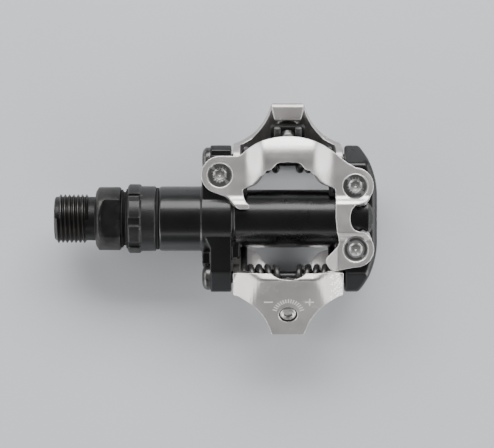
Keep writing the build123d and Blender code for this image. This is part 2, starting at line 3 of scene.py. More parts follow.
import bmesh
import bpy
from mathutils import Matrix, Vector


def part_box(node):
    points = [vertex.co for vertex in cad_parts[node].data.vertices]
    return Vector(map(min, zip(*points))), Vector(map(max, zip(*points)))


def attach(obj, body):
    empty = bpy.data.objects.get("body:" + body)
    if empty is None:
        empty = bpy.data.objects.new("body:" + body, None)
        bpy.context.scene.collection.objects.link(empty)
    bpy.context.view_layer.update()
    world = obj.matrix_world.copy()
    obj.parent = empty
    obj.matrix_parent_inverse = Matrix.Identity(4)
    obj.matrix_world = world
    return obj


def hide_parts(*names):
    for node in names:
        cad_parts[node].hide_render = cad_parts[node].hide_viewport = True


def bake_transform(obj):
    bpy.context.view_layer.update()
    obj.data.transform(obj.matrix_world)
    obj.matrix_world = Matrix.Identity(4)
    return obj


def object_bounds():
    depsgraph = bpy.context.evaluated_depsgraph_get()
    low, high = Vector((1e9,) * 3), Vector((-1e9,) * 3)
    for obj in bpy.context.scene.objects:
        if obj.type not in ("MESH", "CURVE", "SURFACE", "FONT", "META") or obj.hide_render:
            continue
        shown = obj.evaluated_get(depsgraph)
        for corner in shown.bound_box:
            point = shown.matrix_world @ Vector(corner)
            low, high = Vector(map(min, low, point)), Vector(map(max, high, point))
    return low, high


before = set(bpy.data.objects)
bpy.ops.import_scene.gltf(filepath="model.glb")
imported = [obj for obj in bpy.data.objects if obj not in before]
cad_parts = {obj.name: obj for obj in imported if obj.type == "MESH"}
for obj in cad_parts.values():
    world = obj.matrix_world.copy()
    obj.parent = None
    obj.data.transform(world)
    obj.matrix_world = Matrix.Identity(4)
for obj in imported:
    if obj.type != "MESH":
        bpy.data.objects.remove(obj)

# A right-hand clipless pedal. The upper mechanism is modelled once and copied, turned half a turn
# about the spindle, for the underside. Sizes are in millimetres until they reach a bpy operator.

MM = 0.001
cad_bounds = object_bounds()
claw_low, claw_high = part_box("top_rear_claw")
pin_low, pin_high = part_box("top_claw_pin")
seal_low, seal_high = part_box("dust_seal")
lock_low, lock_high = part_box("lock_bolt")
spindle_low, spindle_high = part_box("spindle")
body_low, body_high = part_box("pedal_body")
CENTRE = (claw_low[0] + claw_high[0]) / 2 / MM     # middle of the cleat pocket, along the spindle
SHEET = 2.1                                        # thickness of the pressed steel
SEAT = 8.2                                         # height of the faces that the front plate sits on
PIN_Y = -(pin_low[1] + pin_high[1]) / 2 / MM


def at(x, y, z):
    """A point given from the pocket's middle, in metres."""
    return Vector(((CENTRE + x) * MM, y * MM, z * MM))


def along(x, y, z):
    """A point given from the crank seat, in metres."""
    return Vector((x * MM, y * MM, z * MM))


# ---------------------------------------------------------------- camera, floor and light
def aim(obj, target):
    obj.rotation_euler = (Vector(target) - obj.location).to_track_quat("-Z", "Y").to_euler()


def set_up_camera():
    frame_width, distance = 145.3, 800.0
    aim_x, aim_y = 44.3, -1.6
    data = bpy.data.cameras.new("camera")
    data.sensor_width = 36.0
    data.lens = data.sensor_width * distance / frame_width
    data.clip_start, data.clip_end = 0.01, 20.0
    camera = bpy.data.objects.new("camera", data)
    bpy.context.collection.objects.link(camera)
    camera.location = along(aim_x, aim_y, distance)
    camera.rotation_euler = (0, 0, 0)
    bpy.context.scene.camera = camera


def soft_light(name, place, target, size, power, tint=(1, 1, 1)):
    data = bpy.data.lights.new(name, "AREA")
    data.shape, data.size, data.size_y = "RECTANGLE", size[0], size[1]
    data.energy, data.color = power, tint
    light = bpy.data.objects.new(name, data)
    bpy.context.collection.objects.link(light)
    light.location = place
    aim(light, target)


def set_up_studio():
    middle = along(CENTRE - 12, 0, 0)
    soft_light("front_box", (middle.x, 0.74, 0.60), middle, (1.3, 0.44), 12.5)
    soft_light("left_box", (middle.x - 1.00, 0.0, 0.30), middle, (1.1, 0.55), 5.0)
    soft_light("right_box", (middle.x + 1.00, 0.0, 0.30), middle, (1.1, 0.55), 5.0)
    soft_light("rear_left_box", (middle.x - 0.72, -0.66, 0.20), middle, (0.62, 0.36), 3.6)
    soft_light("rear_right_box", (middle.x + 0.72, -0.66, 0.20), middle, (0.62, 0.36), 3.6)
    soft_light("rear_fill", (middle.x, -0.95, 0.62), middle, (0.9, 0.2), 0.9)
    world = bpy.data.worlds.new("studio")
    bpy.context.scene.world = world
    world.use_nodes = True
    tree = world.node_tree
    place = node(tree, "ShaderNodeTexCoord").outputs["Generated"]
    up = node(tree, "ShaderNodeSeparateXYZ", {"Vector": place}).outputs["Z"]
    shade = blend_colour(tree, remap(tree, up, 0.45, 0.95), (0.20, 0.205, 0.21, 1), (0.140, 0.141, 0.143, 1))
    tree.links.new(shade, tree.nodes["Background"].inputs["Color"])
    tree.nodes["Background"].inputs["Strength"].default_value = 1.0
    bpy.ops.object.select_all(action="DESELECT")
    bpy.ops.mesh.primitive_plane_add(size=6, location=(0, 0, cad_bounds[0][2] - 0.0002))
    floor = bpy.context.object
    floor.name = "floor"
    floor.data.materials.append(floor_paper())


# ---------------------------------------------------------------- shader building blocks
def new_group(name, inputs, outputs):
    """An empty node group; inputs are (name, default) and outputs (name, socket type)."""
    group = bpy.data.node_groups.new(name, "ShaderNodeTree")
    for label, default in inputs:
        kind = "NodeSocketColor" if isinstance(default, tuple) else "NodeSocketFloat"
        group.interface.new_socket(label, in_out="INPUT", socket_type=kind).default_value = default
    for label, kind in outputs:
        group.interface.new_socket(label, in_out="OUTPUT", socket_type=kind)
    return group, group.nodes.new("NodeGroupInput"), group.nodes.new("NodeGroupOutput")


def node(tree, kind, values=None, **settings):
    made = tree.nodes.new(kind)
    for key, value in settings.items():
        setattr(made, key, value)
    for key, value in (values or {}).items():
        if isinstance(value, bpy.types.NodeSocket):
            tree.links.new(value, made.inputs[key])
        else:
            made.inputs[key].default_value = value
    return made


def noise(tree, where, scale, detail=3.0, roughness=0.55):
    return node(tree, "ShaderNodeTexNoise", {"Vector": where, "Scale": scale, "Detail": detail,
                                             "Roughness": roughness}).outputs["Fac"]


def remap(tree, value, low, high, to_low=0.0, to_high=1.0):
    return node(tree, "ShaderNodeMapRange", {"Value": value, "From Min": low, "From Max": high,
                                             "To Min": to_low, "To Max": to_high}).outputs["Result"]


def sums(tree, operation, a, b):
    return node(tree, "ShaderNodeMath", {0: a, 1: b}, operation=operation, use_clamp=False).outputs["Value"]


def blend_colour(tree, share, a, b, mode="MIX"):
    made = tree.nodes.new("ShaderNodeMix")
    made.data_type, made.blend_type = "RGBA", mode
    for key, value in ((0, share), (6, a), (7, b)):
        if isinstance(value, bpy.types.NodeSocket):
            tree.links.new(value, made.inputs[key])
        else:
            made.inputs[key].default_value = value
    return made.outputs[2]


def surface_group():
    """Fine grain, broad cloudiness and thin scratches, all on object coordinates."""
    group, takes, gives = new_group(
        "metal_surface", [("Grain Scale", 2600.0), ("Scratch Scale", 500.0)],
        [("Grain", "NodeSocketFloat"), ("Clouds", "NodeSocketFloat"), ("Scratches", "NodeSocketFloat")])
    place = node(group, "ShaderNodeTexCoord").outputs["Object"]
    group.links.new(noise(group, place, takes.outputs["Grain Scale"], 2.0, 0.6), gives.inputs["Grain"])
    group.links.new(noise(group, place, 95.0, 4.0, 0.6), gives.inputs["Clouds"])
    stretched = node(group, "ShaderNodeMapping", {"Vector": place, "Rotation": (0.3, 0.5, 0.9),
                                                  "Scale": (1.0, 0.035, 0.4)}).outputs["Vector"]
    lines = noise(group, stretched, takes.outputs["Scratch Scale"], 3.0, 0.5)
    where = remap(group, noise(group, place, 140.0, 2.0), 0.50, 0.68)
    thin = remap(group, lines, 0.615, 0.66)
    group.links.new(sums(group, "MULTIPLY", thin, where), gives.inputs["Scratches"])
    return group


def wear_highlight_and_shade_group():
    """A mask of worn outer edges that also carries a painted highlight, broken up by noise, and one of
    painted shade in the concave corners.
    """
    group, takes, gives = new_group("edge_wear_highlight_and_shade", [("Reach", 0.06), ("Breakup", 260.0)],
                                    [("Worn Highlit Edges", "NodeSocketFloat"), ("Hollow Shade", "NodeSocketFloat")])
    bend = node(group, "ShaderNodeNewGeometry").outputs["Pointiness"]
    place = node(group, "ShaderNodeTexCoord").outputs["Object"]
    broken = remap(group, noise(group, place, takes.outputs["Breakup"], 4.0, 0.65), 0.34, 0.66, -0.02, 0.02)
    top = sums(group, "ADD", 0.505, takes.outputs["Reach"])
    # Convex edges: real wear that also serves as a painted highlight along the edges.
    edge = node(group, "ShaderNodeMapRange", {"Value": sums(group, "ADD", bend, broken), "From Min": 0.515,
                                              "From Max": top}).outputs["Result"]
    group.links.new(edge, gives.inputs["Worn Highlit Edges"])
    # Painted shade: concave corners and creases get a darkening mask.
    group.links.new(remap(group, bend, 0.49, 0.44), gives.inputs["Hollow Shade"])
    return group


SURFACE, WEAR_HIGHLIGHT_AND_SHADE = surface_group(), wear_highlight_and_shade_group()


def finish(name, colour, dark, metal, rough, rough_change=0.08, grain=0.02, grain_scale=2600.0, scratch=0.4,
           worn_highlight_colour=None, worn_highlight_amount=0.5, reach=0.06, coat=0.0, coat_rough=0.08, hollow_shade=0.4, specular=0.5):
    """A metal, paint or plastic finish: base colour with clouds, scratches, worn edges that also carry a
    painted highlight, and painted shade in the corners.
    """
    material = bpy.data.materials.new(name)
    material.use_nodes = True
    tree = material.node_tree
    shader = tree.nodes["Principled BSDF"]
    skin = node(tree, "ShaderNodeGroup", node_tree=SURFACE)
    skin.inputs["Grain Scale"].default_value = grain_scale
    edges = node(tree, "ShaderNodeGroup", node_tree=WEAR_HIGHLIGHT_AND_SHADE)
    edges.inputs["Reach"].default_value = reach
    tint = blend_colour(tree, remap(tree, skin.outputs["Clouds"], 0.35, 0.65), (*dark, 1), (*colour, 1))
    # Painted shade: the colour darkens in concave corners and creases.
    shade = sums(tree, "MULTIPLY", edges.outputs["Hollow Shade"], hollow_shade)
    tint = blend_colour(tree, shade, tint, tuple(c * 0.35 for c in dark) + (1,))
    # Painted highlight and wear: convex edges take the lighter worn colour.
    if worn_highlight_colour is not None:
        worn_highlight_share = sums(tree, "MULTIPLY", edges.outputs["Worn Highlit Edges"], worn_highlight_amount)
        tint = blend_colour(tree, worn_highlight_share, tint, (*worn_highlight_colour, 1))
    tree.links.new(tint, shader.inputs["Base Color"])
    spread = remap(tree, skin.outputs["Clouds"], 0.3, 0.7, rough - rough_change, rough + rough_change)
    fine = remap(tree, skin.outputs["Grain"], 0.3, 0.7, -0.4 * rough_change, 0.4 * rough_change)
    spread = sums(tree, "ADD", spread, fine)
    spread = sums(tree, "SUBTRACT", spread, sums(tree, "MULTIPLY", skin.outputs["Scratches"], 0.12 * scratch))
    tree.links.new(spread, shader.inputs["Roughness"])
    if isinstance(metal, tuple):
        share = remap(tree, edges.outputs["Worn Highlit Edges"], 0.0, 1.0, *metal)
        tree.links.new(share, shader.inputs["Metallic"])
    else:
        shader.inputs["Metallic"].default_value = metal
    height = sums(tree, "MULTIPLY", skin.outputs["Grain"], grain)
    height = sums(tree, "SUBTRACT", height, sums(tree, "MULTIPLY", skin.outputs["Scratches"], 0.02 * scratch))
    bump = node(tree, "ShaderNodeBump", {"Height": height, "Strength": 0.6, "Distance": 0.002})
    tree.links.new(bump.outputs["Normal"], shader.inputs["Normal"])
    shader.inputs["Coat Weight"].default_value = coat
    shader.inputs["Coat Roughness"].default_value = coat_rough
    shader.inputs["Specular IOR Level"].default_value = specular
    material.diffuse_color = (*colour, 1)
    return material


def floor_paper():
    material = bpy.data.materials.new("floor_paper")
    material.use_nodes = True
    tree = material.node_tree
    shader = tree.nodes["Principled BSDF"]
    place = node(tree, "ShaderNodeTexCoord").outputs["Object"]
    clouds = noise(tree, place, 9.0, 3.0)
    tint = blend_colour(tree, clouds, (0.74, 0.76, 0.79, 1), (0.79, 0.81, 0.83, 1))
    tree.links.new(tint, shader.inputs["Base Color"])
    shader.inputs["Roughness"].default_value = 0.9
    shader.inputs["Specular IOR Level"].default_value = 0.2
    return material


# ---------------------------------------------------------------- modelling helpers
def clear():
    if bpy.context.object and bpy.context.object.mode != "OBJECT":
        bpy.ops.object.mode_set(mode="OBJECT")
    bpy.ops.object.select_all(action="DESELECT")


def pick(obj):
    """Makes a piece the active one and the only one selected."""
    clear()
    bpy.context.view_layer.objects.active = obj
    obj.select_set(True)


def edit(obj):
    pick(obj)
    bpy.ops.object.mode_set(mode="EDIT")
    bpy.ops.mesh.select_mode(type="VERT")
    bpy.ops.mesh.select_all(action="SELECT")


def close_edit():
    bpy.ops.mesh.select_all(action="SELECT")
    bpy.ops.mesh.normals_make_consistent(inside=False)
    bpy.ops.object.mode_set(mode="OBJECT")


def modify(obj, kind, **settings):
    """Adds a modifier with these settings and applies it."""
    pick(obj)
    added = obj.modifiers.new(kind.lower(), kind)
    for key, value in settings.items():
        setattr(added, key, value)
    bpy.ops.object.modifier_apply(modifier=added.name)
    return obj


def round_edges(obj, width, segments, sharper_than=None):
    """Bevels every edge, or only the edges that turn by more than an angle in degrees."""
    if sharper_than is None:
        return modify(obj, "BEVEL", width=width * MM, segments=segments, limit_method="NONE")
    return modify(obj, "BEVEL", width=width * MM, segments=segments, limit_method="ANGLE",
                  angle_limit=radians(sharper_than))


def brick(place, size, turn=0.0):
    """A box about a place, its size in millimetres, turned about the vertical."""
    clear()
    bpy.ops.mesh.primitive_cube_add(size=MM, location=place, scale=size, rotation=(0, 0, turn))
    obj = bpy.context.object
    bpy.ops.object.transform_apply(location=True, rotation=True, scale=True)
    return obj


def trace(name, points):
    """A chain of edges, extruded from point to point, left in edit mode."""
    clear()
    bpy.ops.mesh.primitive_plane_add(size=MM, location=points[0])
    obj = bpy.context.object
    obj.name = obj.data.name = name
    bpy.ops.object.transform_apply(location=True, rotation=False, scale=False)
    edit(obj)
    bpy.ops.mesh.merge(type="CENTER")
    for a, b in zip(points, points[1:]):
        bpy.ops.mesh.extrude_region_move(TRANSFORM_OT_translate={"value": Vector(b) - Vector(a)})
    return obj


def flat(name, points):
    """A flat face inside a closed outline, left in edit mode."""
    obj = trace(name, points)
    bpy.ops.mesh.select_all(action="SELECT")
    bpy.ops.mesh.edge_face_add()
    return obj


def slab(name, points, push):
    """An outline pushed into a solid."""
    obj = flat(name, points)
    bpy.ops.mesh.select_all(action="SELECT")
    bpy.ops.mesh.extrude_region_move(TRANSFORM_OT_translate={"value": push})
    close_edit()
    return obj


def lathe(name, profile, steps=72, axis_at=(0, 0), place=along):
    """An (x, radius) profile spun about a line along X through axis_at."""
    y, z = axis_at
    obj = trace(name, [place(x, y, z + r) for x, r in profile])
    bpy.ops.mesh.select_all(action="SELECT")
    bpy.ops.mesh.spin(steps=steps, angle=2 * pi, center=place(0, y, z), axis=(1, 0, 0))
    bpy.ops.mesh.select_all(action="SELECT")
    bpy.ops.mesh.remove_doubles(threshold=0.004 * MM)
    close_edit()
    return obj


def spun_up(name, profile, centre, steps=48):
    """A (radius, height) profile spun about a vertical line through centre."""
    x, y = centre
    obj = trace(name, [at(x + r, y, z) for r, z in profile])
    bpy.ops.mesh.select_all(action="SELECT")
    bpy.ops.mesh.spin(steps=steps, angle=2 * pi, center=at(x, y, 0), axis=(0, 0, 1))
    bpy.ops.mesh.select_all(action="SELECT")
    bpy.ops.mesh.remove_doubles(threshold=0.004 * MM)
    close_edit()
    return obj


def slice_at(place, normal, clear_outer=False):
    """Cuts new edges in the piece being edited, or cuts off and caps what lies beyond the plane."""
    bpy.ops.mesh.select_all(action="SELECT")
    bpy.ops.mesh.bisect(plane_co=place, plane_no=normal, use_fill=clear_outer, clear_outer=clear_outer,
                        clear_inner=False)


def lift(obj, height):
    """Moves each vertex up or down to the height that its place calls for."""
    def rise(place):
        return round(height(place.x / MM - CENTRE, place.y / MM) - place.z / MM, 2)

    for amount, corners in sort_corners(obj, rise).items():
        choose(obj, corners)
        bpy.ops.transform.translate(value=(0, 0, amount * MM))


def sort_corners(obj, measure):
    """The vertices' numbers, grouped by what is measured at their places."""
    groups = {}
    for corner in bmesh.from_edit_mesh(obj.data).verts:
        groups.setdefault(measure(corner.co), []).append(corner.index)
    return groups


def choose(obj, corners):
    mesh = bmesh.from_edit_mesh(obj.data)
    mesh.verts.ensure_lookup_table()
    bpy.ops.mesh.select_all(action="DESELECT")
    for index in corners:
        mesh.verts[index].select_set(True)
    mesh.select_flush_mode()


def cut(obj, *tools):
    for tool in tools:
        modify(obj, "BOOLEAN", operation="DIFFERENCE", object=tool, solver="EXACT")
        bpy.data.objects.remove(tool)
    return obj


def join(obj, *others):
    clear()
    for other in others:
        other.select_set(True)
    obj.select_set(True)
    bpy.context.view_layer.objects.active = obj
    bpy.ops.object.join()
    return obj


# Voxel sizes: small enough for each piece's details, large enough to keep its mesh light.
MELT_LOCK, MELT_BODY, MELT_PLATE, MELT_CLAW = 0.19, 0.29, 0.19, 0.165


def fuse(obj, voxel):
    """Melts overlapping solids into one skin with small fillets everywhere."""
    modify(obj, "REMESH", mode="VOXEL", voxel_size=voxel * MM)
    modify(obj, "SMOOTH", factor=0.5, iterations=3)
    return obj


def smooth(obj, angle=None):
    pick(obj)
    if angle is None:
        bpy.ops.object.shade_smooth()
    else:
        bpy.ops.object.shade_smooth_by_angle(angle=radians(angle))


def settle(obj, body, material, node_name):
    """Gives a finished piece its material and body, and hides its CAD node."""
    if len(obj.data.materials) < 2:
        obj.data.materials.clear()
        obj.data.materials.append(material)
    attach(obj, body)
    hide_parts(node_name)
    return obj


def underside(obj, name):
    """A copy turned half a turn about the spindle, with its own mesh."""
    pick(obj)
    bpy.ops.object.duplicate()
    copy = bpy.context.object
    copy.name = copy.data.name = name
    edit(copy)
    bpy.ops.transform.rotate(value=pi, orient_axis="X", center_override=(0, 0, 0))
    close_edit()
    return copy


def both_sides(piece, name, body, material, node_name):
    """Names and settles an upper piece and its copy on the underside."""
    piece.name = piece.data.name = f"top_{name}"
    twin = underside(piece, f"bottom_{name}")
    for obj, side in ((piece, "top"), (twin, "bottom")):
        settle(obj, body.replace("top_", f"{side}_"), material, f"{side}_{node_name}")


def arc(start, through, end, steps):
    """Points on the circle through three points, with start but without end."""
    (ax, ay), (bx, by), (cx, cy) = start, through, end
    d = 2 * (ax * (by - cy) + bx * (cy - ay) + cx * (ay - by))
    ux = ((ax**2 + ay**2) * (by - cy) + (bx**2 + by**2) * (cy - ay) + (cx**2 + cy**2) * (ay - by)) / d
    uy = ((ax**2 + ay**2) * (cx - bx) + (bx**2 + by**2) * (ax - cx) + (cx**2 + cy**2) * (bx - ax)) / d
    radius = hypot(ax - ux, ay - uy)
    first, middle, last = (atan2(p[1] - uy, p[0] - ux) for p in (start, through, end))
    turn, part = (last - first) % (2 * pi), (middle - first) % (2 * pi)
    if part > turn:
        turn -= 2 * pi
    return [(ux + radius * cos(first + turn * i / steps), uy + radius * sin(first + turn * i / steps))
            for i in range(steps)]


def round_part(centre, radius, first, last, steps):
    """Points on a circle between two angles in degrees."""
    return [(centre[0] + radius * cos(radians(first + (last - first) * i / steps)),
             centre[1] + radius * sin(radians(first + (last - first) * i / steps))) for i in range(steps + 1)]


def ease(value):
    value = max(0.0, min(1.0, value))
    return value * value * (3 - 2 * value)


def soft_min(a, b, softness):
    return -softness * log(exp(-a / softness) + exp(-b / softness))


# ---------------------------------------------------------------- finishes
plate_steel = finish("plate_steel", (0.95, 0.92, 0.90), (0.86, 0.83, 0.81), 1.0, 0.40, 0.05, grain=0.035,
                     worn_highlight_colour=(0.95, 0.94, 0.92), worn_highlight_amount=0.8, reach=0.04, hollow_shade=0.6)
# The claw is the front plate's plated steel with a darker base colour: painted shade for its sloping face,
# which reflects the darker rear of the studio.
claw_steel = finish("claw_steel", (0.60, 0.57, 0.55), (0.52, 0.49, 0.475), 1.0, 0.40, 0.05, grain=0.035,
                    worn_highlight_colour=(0.95, 0.94, 0.92), worn_highlight_amount=0.9, reach=0.035, hollow_shade=0.7)
screw_steel = finish("screw_steel", (0.21, 0.205, 0.20), (0.15, 0.147, 0.145), 1.0, 0.38, 0.06, grain=0.03,
                     worn_highlight_colour=(0.8, 0.8, 0.79), worn_highlight_amount=0.5, hollow_shade=0.7)
blackened_steel = finish("blackened_steel", (0.022, 0.021, 0.021), (0.012, 0.012, 0.012), (0.5, 1.0), 0.40,
                         0.07, grain=0.03, worn_highlight_colour=(0.20, 0.19, 0.18), worn_highlight_amount=0.45, reach=0.08, hollow_shade=0.8)
body_paint = finish("body_paint", (0.0050, 0.0050, 0.0053), (0.0036, 0.0036, 0.0038), 0.0, 0.30, 0.04,
                    grain=0.006, grain_scale=900.0, worn_highlight_colour=(0.05, 0.05, 0.05), worn_highlight_amount=0.35, reach=0.12,
                    coat=0.25, coat_rough=0.14, hollow_shade=0.2, scratch=0.3)
lock_black = finish("lock_black", (0.014, 0.014, 0.0145), (0.009, 0.009, 0.0094), 0.0, 0.40, 0.06, grain=0.03,
                    worn_highlight_colour=(0.14, 0.135, 0.13), worn_highlight_amount=0.4, hollow_shade=0.4)
spring_black = finish("spring_black", (0.024, 0.024, 0.025), (0.014, 0.014, 0.015), 0.55, 0.30, 0.06,
                      grain=0.01, worn_highlight_colour=(0.3, 0.29, 0.28), worn_highlight_amount=0.3, hollow_shade=0.3)
bright_steel = finish("bright_steel", (0.66, 0.65, 0.63), (0.55, 0.54, 0.53), 1.0, 0.38, 0.06,
                      grain=0.02, hollow_shade=0.3)
pin_black = finish("pin_black", (0.055, 0.055, 0.056), (0.035, 0.035, 0.036), 0.8, 0.30, 0.06, grain=0.01,
                   worn_highlight_colour=(0.45, 0.44, 0.42), worn_highlight_amount=0.4, hollow_shade=0.3)
plate_black = finish("plate_black", (0.012, 0.012, 0.012), (0.008, 0.008, 0.008), 0.3, 0.45, 0.06,
                     grain=0.03, hollow_shade=0.3, worn_highlight_colour=(0.1, 0.1, 0.095), worn_highlight_amount=0.3)
seal_rubber = finish("seal_rubber", (0.016, 0.016, 0.016), (0.010, 0.010, 0.010), 0.0, 0.62, 0.06, grain=0.03,
                     grain_scale=1600.0, scratch=0.1, hollow_shade=0.3, specular=0.3)
race_steel = finish("race_steel", (0.62, 0.615, 0.60), (0.52, 0.515, 0.50), 1.0, 0.20, 0.05,
                    grain=0.006, hollow_shade=0.3)
zinc_steel = finish("zinc_steel", (0.60, 0.60, 0.58), (0.46, 0.46, 0.44), 1.0, 0.36, 0.07,
                    grain=0.02, hollow_shade=0.4, worn_highlight_colour=(0.8, 0.8, 0.78), worn_highlight_amount=0.4)
bush_plastic = finish("bush_plastic", (0.70, 0.66, 0.56), (0.62, 0.58, 0.49), 0.0, 0.42, 0.05,
                      grain=0.02, hollow_shade=0.2)
mark_white = finish("mark_white", (0.95, 0.94, 0.92), (0.88, 0.87, 0.85), 0.0, 0.6, 0.05,
                    grain=0.02, hollow_shade=0.0)

set_up_camera()
set_up_studio()


# ---------------------------------------------------------------- spindle, seal, lock bolt
def ridge(name, start_x, crest, root, step, rounds, taper):
    """A thread wound up with the screw modifier and faded out at both ends."""
    half, flat_top, foot = step * 0.47, step * 0.07, root - 0.12
    thread = trace(name, [along(start_x - half, 0, foot), along(start_x - flat_top, 0, crest),
                          along(start_x + flat_top, 0, crest), along(start_x + half, 0, foot)])
    bpy.ops.mesh.select_all(action="SELECT")
    bpy.ops.mesh.edge_face_add()
    bpy.ops.object.mode_set(mode="OBJECT")
    modify(thread, "SCREW", axis="X", angle=2 * pi, screw_offset=step * MM, iterations=rounds, steps=64,
           render_steps=64, use_merge_vertices=True, merge_threshold=0.0005 * MM)
    low, high = start_x - half, start_x + half + step * rounds

    def fade(place):
        near = min(place.x / MM - low, high - place.x / MM) / taper
        allowed = foot + (crest - foot) * ease(near)
        return round(min(1.0, allowed / (hypot(place.y, place.z) / MM)), 3)

    edit(thread)
    for share, corners in sort_corners(thread, fade).items():
        choose(thread, corners)
        bpy.ops.transform.resize(value=(1, share, share), center_override=(0, 0, 0))
    close_edit()
    return thread


def make_spindle():
    major, minor, pitch, turns = 7.14, 6.42, 1.27, 7
    end, rim, seat = spindle_low[0] / MM, spindle_high[2] / MM, 7.4
    profile = [
        (end, 0), (end, 2.2), (end + 0.5, 2.6), (end + 0.5, 4.4), (end, 4.8), (end, minor - 0.4),
        (end + 0.4, minor), (-2.0, minor), (-1.7, 6.45), (-0.25, 6.45), (0, 6.7), (0, 7.75), (0.12, 8.1),
        (0.8, rim - 0.12), (1.0, rim), (seat - 0.55, rim), (seat - 0.2, rim - 0.15), (seat, rim - 0.55),
        (seat, 7.0), (seat + 0.15, 6.85),
        (9.7, 6.85), (9.8, 6.0), (22.5, 6.0), (25.5, 4.4), (51.6, 4.4), (52.0, 4.9), (54.2, 4.9), (54.2, 3.7),
        (67.4, 3.7), (67.4, 2.5), (74.9, 2.5), (75.3, 2.1), (75.3, 0),
    ]
    shaft = lathe("spindle_shaft", profile, 120)
    flat_z, flat_x, flat_end = 7.5, 1.2, 13.0
    for side in (1, -1):
        clear()
        bpy.ops.mesh.primitive_cylinder_add(vertices=160, radius=flat_end * MM, depth=5 * MM,
                                            location=along(flat_x + flat_end, 0, side * (flat_z + 2.5)))
        flat_cutter = bpy.context.object
        bpy.ops.object.transform_apply(location=True, rotation=False, scale=True)
        round_edges(flat_cutter, 0.5, 3, 60)
        cut(shaft, flat_cutter)
    round_edges(shaft, 0.16, 2, 38)
    crank_thread = ridge("crank_thread", end + 0.75, major, minor, pitch, turns, 0.9)
    stud_thread = ridge("stud_thread", 67.9, 2.62, 2.35, 0.8, 8, 0.6)
    join(shaft, crank_thread, stud_thread)
    shaft.name = "spindle_turned"
    smooth(shaft, 32)
    settle(shaft, "spindle", blackened_steel, "spindle")


def make_seal():
    x0, x1 = seal_low[0] / MM, seal_high[0] / MM
    middle = (x0 + x1) / 2
    inner = 6.94
    profile = [(x0 + 0.1, inner), (x0, inner + 0.15), (x0, 8.35), (x0 + 0.12, 8.58), (x0 + 0.35, 8.55),
               (middle - 0.25, 7.92), (middle, 7.8), (middle + 0.25, 7.94), (x1 - 0.4, 8.7),
               (x1 - 0.15, 8.86), (x1, 8.7), (x1, inner + 0.15), (x1 - 0.1, inner), (x0 + 0.1, inner)]
    seal = lathe("lip_seal", profile, 72)
    smooth(seal, 40)
    settle(seal, "pedal", seal_rubber, "dust_seal")


def make_lock_bolt():
    x0, x1 = lock_low[0] / MM, lock_high[0] / MM
    top, collar, spline_x, mouth = lock_high[2] / MM, 9.55, 13.3, 6.96
    profile = [(x0, mouth), (x0, top - 0.5), (x0 + 0.5, top), (spline_x - 0.4, top), (spline_x, top - 0.4),
               (spline_x, collar), (17.35, collar), (17.7, collar - 0.35), (17.7, 7.95), (x1 - 0.4, 7.95),
               (x1, 7.6), (x1, 6.65), (10.25, 6.65), (10.25, mouth), (x0, mouth)]
    bolt = lathe("spline_ring", profile, 120)
    slots, phase, width, floor = 8, 39.0, 2.5, top - 0.95
    for i in range(slots):
        key = brick(along((x0 + spline_x) / 2 - 0.6, 0, floor + 1.5), (spline_x - x0 + 1.0, width, 3.0))
        round_edges(key, 0.35, 3)
        edit(key)
        bpy.ops.transform.rotate(value=radians(phase + 360 / slots * i), orient_axis="X",
                                 center_override=(0, 0, 0))
        close_edit()
        cut(bolt, key)
    fuse(bolt, MELT_LOCK)
    bolt.name = "lock_bolt_moulded"
    smooth(bolt)
    settle(bolt, "pedal", lock_black, "lock_bolt")


# ---------------------------------------------------------------- pedal body
SCREWS = [(-19.9, 12.7), (19.5, 9.5), (19.6, -8.9)]
ARM_INNER, ARM_OUTER, BLOCK_OUTER, ARM_END = 16.55, 22.7, 25.2, 21.5
OUTBOARD = body_high[0] / MM - CENTRE


def slope_end(side):
    """Cuts off the edited arm's end on a slope, in front (1) or behind (-1)."""
    slice_at(at(0, side * 18.3, 5.7), (0, side * 5.0, 6.3), True)


def outboard_half():
    """Upper half of the outboard block: rounded shoulders, sloping ends and a bevelled outer edge."""
    band, drop, inner = 1.7, 1.5, ARM_INNER - 2.5
    right = [(OUTBOARD, -7.0), (OUTBOARD, 7.0)] + arc((OUTBOARD, 7.0), (24.6, 14.6), (20.7, ARM_END), 10)[1:]
    right += [(20.7, ARM_END), (inner, ARM_END), (inner, -ARM_END), (20.7, -ARM_END)]
    right += arc((20.7, -ARM_END), (24.6, -14.6), (OUTBOARD, -7.0), 10)[1:]
    block = flat("outboard_half", [at(x, y, -0.6) for x, y in right])
    bpy.ops.mesh.select_all(action="SELECT")
    bpy.ops.mesh.extrude_region_move(TRANSFORM_OT_translate={"value": (0, 0, (SEAT + 0.6 - drop) * MM)})
    bpy.ops.mesh.extrude_region_move(TRANSFORM_OT_translate={"value": (0, 0, drop * MM)})
    half_width = 6.0
    bpy.ops.transform.resize(value=(1 - band / half_width, 1 - band / ARM_END, 1),
                             center_override=at(inner + half_width, 0, 0))
    slice_at(at(ARM_INNER, 0, 0), (-1, 0, 0), True)
    slope_end(1)
    slope_end(-1)
    close_edit()
    round_edges(block, 0.7, 4, 20)
    pocket = brick(at(21.2, 0.35, SEAT), (4.6, 5.4, 2.4))
    round_edges(pocket, 0.9, 4)
    return cut(block, pocket)


def inboard_half():
    """Upper half of the inboard block: screw boss in front, arm behind."""
    x, y = SCREWS[0]
    plan = [(-BLOCK_OUTER, y - 1.0), (-BLOCK_OUTER, -2.8), (-ARM_OUTER, -8.8), (-ARM_OUTER, -ARM_END),
            (-ARM_INNER, -ARM_END), (-ARM_INNER, ARM_END), (-ARM_OUTER, ARM_END)]
    plan += round_part((x, y), BLOCK_OUTER + x, 122, 188, 10)
    arm = slab("inboard_arm", [at(px, py, -0.6) for px, py in plan], (0, 0, (SEAT + 0.6) * MM))
    edit(arm)
    slope_end(-1)
    close_edit()
    cut(arm, brick(at(-20, 22.1, 9.2), (14, 8.2, 9.6)))
    edit(arm)
    slice_at(at(0, 20.0, 4.4), (0, 1.2, 1.5), True)
    close_edit()
    round_edges(arm, 0.7, 4, 20)
    return arm


